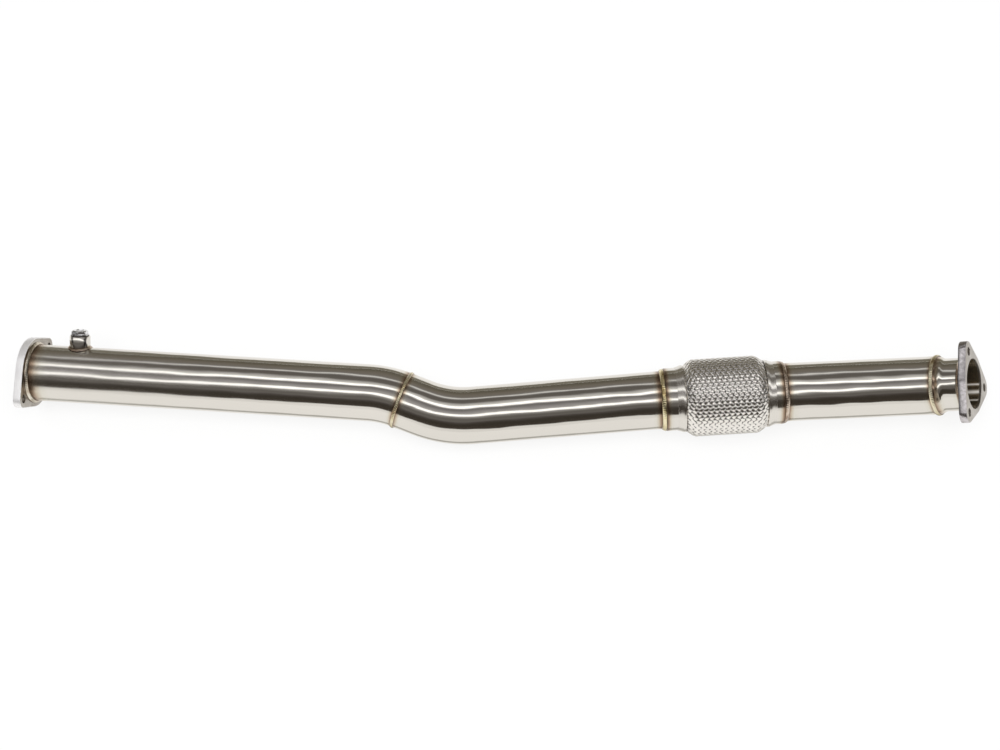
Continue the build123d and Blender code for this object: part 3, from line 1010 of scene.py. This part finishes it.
# How far a strand rises over and dips under the others, and how quickly
WEAVE_DEPTH = 0.45
WEAVE_SLOPE = 2.0
BRAID_HALF = (FLEX_LENGTH - OUTLET_COLLAR - INLET_COLLAR) / 2 - SEAT_GAP
BRAID_MIDDLE_R = BRAID_R - WEAVE_DEPTH - STRAND_DEPTH
BRAID_SHOULDER = BRAID_BEVEL + 3.0
BRAID_DRAWN = BRAID_R - COLLAR_R - 2.3
braid_middle = flex_start.moved(OUTLET_COLLAR + SEAT_GAP + BRAID_HALF)


def braid_radius(along):
    """The barrel's radius: straight in the middle, drawn in with a round shoulder at each end."""
    over = max(0.0, abs(along) - (BRAID_HALF - BRAID_SHOULDER)) / BRAID_SHOULDER
    return BRAID_MIDDLE_R - BRAID_DRAWN * over**1.5


def strand_profile():
    """A strand's section as (share of its width, height): the wires on top, then the flat underside."""
    count = STRAND_WIRES * 2 + 1
    profile = []
    for j in range(count):
        off = j / (count - 1) - 0.5
        groove = 0.0 if j % 2 else -WIRE_GROOVE
        profile.append((off, groove - STRAND_CROWN * (2 * off) ** 8))
    return profile + [(0.45, -STRAND_DEPTH), (-0.45, -STRAND_DEPTH)]


def braid():
    """Flat bundles of wire on crossing helices, each over one and under the next."""
    advance = math.pi / STRANDS
    crossings = int(4 * BRAID_HALF / STRAND_PITCH)
    half_pitch = 2 * BRAID_HALF / crossings
    per_crossing = 4
    steps = crossings * per_crossing
    helix = math.atan2(advance * BRAID_MIDDLE_R, half_pitch)
    band = 2 * half_pitch * math.sin(helix) * STRAND_FILL
    profile = strand_profile()
    size = len(profile)
    verts, faces = [], []
    for way in (1, -1):
        for strand in range(STRANDS):
            first = len(verts)
            for k in range(steps + 1):
                passed = k / per_crossing
                along = -BRAID_HALF + passed * half_pitch
                angle = way * advance * passed + math.tau * strand / STRANDS
                swing = max(-1.0, min(1.0, WEAVE_SLOPE * math.cos(math.pi * passed)))
                for off, height in profile:
                    place = min(BRAID_HALF, max(-BRAID_HALF, along - off * band * math.sin(helix)))
                    turn = angle + way * off * band * math.cos(helix) / BRAID_MIDDLE_R
                    radius = braid_radius(place) + WEAVE_DEPTH * way * swing + height
                    verts.append(braid_middle.point(place, radius, turn))
            for k in range(steps):
                start = first + k * size
                for j in range(size):
                    nxt = (j + 1) % size
                    faces.append((start + j, start + nxt, start + size + nxt, start + size + j))
            faces.append(tuple(first + j for j in range(size)))
            faces.append(tuple(first + steps * size + j for j in range(size)))
    return make_object("braid_strands", verts, faces, braid_steel, 60.0)


stand_in(braid(), "flex_braid")


# Studio


# How much of what the camera and the pipe's reflections see of the paper is its own even white
PAPER_GLOW = 0.8
# Where the paper that the pipe mirrors ends behind it, at the outlet and at the inlet, in millimetres
PAPER_ENDS = (205.0, 275.0)
PIPE_LENGTH = 1280.0
# The strip of painted shadow in front of the pipe: how far its two sides stand off, as shares of the
# centreline's height
SHADOW_STRIP_SIDES = (0.66, 0.255)


def floor():
    bpy.ops.mesh.primitive_plane_add(size=60.0, location=(0.6, 0.0, cad_box[0][2]))
    ground = bpy.context.object
    ground.name = "studio_floor"
    material = bpy.data.materials.new("floor_paper")
    material.use_nodes = True
    nodes, links = material.node_tree.nodes, material.node_tree.links
    nodes.clear()
    output = nodes.new("ShaderNodeOutputMaterial")
    diffuse = nodes.new("ShaderNodeBsdfDiffuse")
    diffuse.inputs["Color"].default_value = (0.93, 0.93, 0.92, 1)
    path = nodes.new("ShaderNodeLightPath")
    surface = diffuse.outputs[0]
    for ray, white in (("Is Camera Ray", (1.0, 1.0, 1.0, 1)), ("Is Glossy Ray", (0.97, 0.96, 0.94, 1))):
        glow = nodes.new("ShaderNodeEmission")
        glow.inputs["Color"].default_value = white
        amount = math_node(nodes, links, "MULTIPLY", path.outputs[ray], PAPER_GLOW)
        surface = mix_shader(nodes, links, amount, surface, glow.outputs[0])
    links.new(surface, output.inputs["Surface"])
    ground.data.materials.append(material)


def mirrored_only(name, verts, faces, glow):
    """A dark sheet on the floor that shows in the pipe's reflections and nowhere else."""
    dark, nodes, links, shader = new_material(name)
    shader.inputs["Base Color"].default_value = (0.05, 0.05, 0.04, 1)
    shader.inputs["Emission Color"].default_value = (*glow, 1)
    shader.inputs["Emission Strength"].default_value = 1.0
    shader.inputs["Roughness"].default_value = 1.0
    sheet = make_object(name, verts, faces, dark)
    for ray in ("camera", "diffuse", "shadow", "transmission", "volume_scatter"):
        setattr(sheet, "visible_" + ray, False)


def floor_beyond():
    """The paper ends a little way behind the pipe, and the dark studio floor shows past it."""
    low = cad_box[0][2] / MM + 1.0
    left, right, far = -3000.0, 4000.0, 6000.0
    lean = (PAPER_ENDS[1] - PAPER_ENDS[0]) / PIPE_LENGTH
    verts = [(x, PAPER_ENDS[0] + x * lean, low) for x in (left, right)]
    verts += [(right, far, low), (left, far, low)]
    mirrored_only("floor_beyond", verts, [(0, 1, 2, 3)], (0.145, 0.13, 0.10))


def painted_shadow_strip():
    """A narrow strip of painted shadow on the floor along the pipe's front, glowing grey and seen only in
    reflections, which draws the grey line by its lower edge.
    """
    line = [outlet_section(s).origin for s in spaced(-PLATE, outlet_length, 30.0)]
    line += [middle_section(s).origin for s in spaced(0.0, middle_length, 15.0)]
    line += [flex_end.origin, inlet_end.origin, inlet_face.origin]
    low = cad_box[0][2] / MM + 0.8
    verts = [(p.x, p.y - TUBE_R - share * (p.z - low), low) for p in line for share in SHADOW_STRIP_SIDES]
    faces = [(2 * k, 2 * k + 1, 2 * k + 3, 2 * k + 2) for k in range(len(line) - 1)]
    # Its grey glow is painted shadow
    mirrored_only("painted_shadow_strip", verts, faces, (0.45, 0.44, 0.42))


# Colours of the room around the pipe's long axis, by the angle from straight up, positive towards the back
ROOM = [
    (-180, (0.90, 0.89, 0.87)),
    (-80, (0.90, 0.89, 0.87)),
    (-77, (0.06, 0.05, 0.04)),
    (-62, (0.045, 0.038, 0.03)),
    (-56, (0.05, 0.043, 0.035)),
    (-50, (0.08, 0.07, 0.065)),
    (-45, (0.15, 0.14, 0.13)),
    (-37, (0.14, 0.13, 0.12)),
    (-32, (0.22, 0.21, 0.20)),
    (-27, (0.40, 0.39, 0.38)),
    (-24, (1.60, 1.60, 1.60)),
    (-19, (1.60, 1.60, 1.60)),
    (-16, (0.46, 0.45, 0.45)),
    (-5, (0.27, 0.26, 0.26)),
    (1, (0.18, 0.17, 0.17)),
    (5, (0.35, 0.34, 0.34)),
    (8, (1.50, 1.50, 1.50)),
    (13, (1.80, 1.80, 1.80)),
    (16, (0.75, 0.75, 0.74)),
    (24, (0.45, 0.44, 0.43)),
    (29, (0.14, 0.13, 0.12)),
    (42, (0.13, 0.12, 0.11)),
    (47, (0.30, 0.29, 0.29)),
    (49, (0.75, 0.75, 0.74)),
    (52, (0.75, 0.75, 0.74)),
    (54, (0.28, 0.27, 0.26)),
    (60, (0.19, 0.175, 0.155)),
    (68, (0.19, 0.17, 0.145)),
    (78, (0.15, 0.135, 0.105)),
    (96, (0.11, 0.10, 0.08)),
    (101, (0.90, 0.89, 0.87)),
    (180, (0.90, 0.89, 0.87)),
]
ROOM_PEAK = 2.0
# The room's two ends, by how far the direction leans along the pipe: clear, then dark curtains
ROOM_ENDS = [(0.0, 1.0), (0.84, 1.0), (0.90, 0.25), (1.0, 0.15)]


def room():
    world = bpy.data.worlds.new("studio_room")
    bpy.context.scene.world = world
    world.use_nodes = True
    nodes, links = world.node_tree.nodes, world.node_tree.links
    nodes.clear()
    output = nodes.new("ShaderNodeOutputWorld")
    coords = nodes.new("ShaderNodeTexCoord")
    split = nodes.new("ShaderNodeSeparateXYZ")
    links.new(coords.outputs["Generated"], split.inputs[0])
    around = math_node(nodes, links, "ARCTAN2", split.outputs["Y"], split.outputs["Z"])
    turn = range_node(nodes, links, around, 0.0, 1.0, -math.pi, math.pi)
    stops = []
    for angle, colour in ROOM:
        stops.append(((angle + 180) / 360, tuple(channel / ROOM_PEAK for channel in colour)))
    ramp = ramp_node(nodes, stops)
    links.new(turn, ramp.inputs["Fac"])
    shade = ramp_node(nodes, [(lean, (level, level, level)) for lean, level in ROOM_ENDS])
    links.new(math_node(nodes, links, "ABSOLUTE", split.outputs["X"]), shade.inputs["Fac"])
    lit = mix_colour(nodes, links, 1.0, ramp.outputs["Color"], shade.outputs["Color"], "MULTIPLY")
    bands = nodes.new("ShaderNodeBackground")
    bands.inputs["Strength"].default_value = ROOM_PEAK
    links.new(lit, bands.inputs["Color"])
    plain = nodes.new("ShaderNodeBackground")
    plain.inputs["Color"].default_value = (0.80, 0.80, 0.80, 1)
    backdrop = nodes.new("ShaderNodeBackground")
    backdrop.inputs["Color"].default_value = (1.0, 1.0, 1.0, 1)
    path = nodes.new("ShaderNodeLightPath")
    gloss = mix_shader(nodes, links, path.outputs["Is Glossy Ray"], plain.outputs[0], bands.outputs[0])
    seen = mix_shader(nodes, links, path.outputs["Is Camera Ray"], gloss, backdrop.outputs[0])
    links.new(seen, output.inputs["Surface"])


def lamp(name, place, target, size, energy):
    data = bpy.data.lights.new(name, "AREA")
    data.shape = "RECTANGLE"
    data.size, data.size_y = size
    data.energy = energy
    obj = bpy.data.objects.new(name, data)
    obj.location = place
    obj.rotation_euler = (Vector(target) - Vector(place)).to_track_quat("-Z", "Y").to_euler()
    obj.visible_glossy = False
    obj.visible_camera = False
    bpy.context.scene.collection.objects.link(obj)


# The camera: the lens and its sensor, the distance, and how the pipe's plane lies in the picture
LENS = 50.0
SENSOR = 36.0
DISTANCE = 1837.6
YAW = 4.2
SLOPE = 3.44
FACE_ACROSS = -640.0
FACE_UP = 4.3


def camera():
    slope, yaw = math.radians(SLOPE), math.radians(YAW)
    run, rise, depth = (outlet_face.axes.col[k] for k in range(3))
    right = run * math.cos(slope) + rise * math.sin(slope)
    up = rise * math.cos(slope) - run * math.sin(slope)
    centre = outlet_face.origin - right * FACE_ACROSS - up * FACE_UP
    back = right * math.sin(yaw) + depth * math.cos(yaw)
    side = right * math.cos(yaw) - depth * math.sin(yaw)
    data = bpy.data.cameras.new("studio_camera")
    data.lens = LENS
    data.sensor_width = SENSOR
    data.clip_start = 0.01
    obj = bpy.data.objects.new("studio_camera", data)
    turn = Matrix((side, up, back)).transposed().to_4x4()
    obj.matrix_world = Matrix.Translation((centre + back * DISTANCE) * MM) @ turn
    bpy.context.scene.collection.objects.link(obj)
    bpy.context.scene.camera = obj


floor()
floor_beyond()
painted_shadow_strip()
room()
lamp("key_lamp", (0.6, -0.4, 2.2), (0.6, 0.0, 0.0), (2.4, 1.2), 28.0)
camera()
bpy.context.scene.view_settings.view_transform = "Standard"
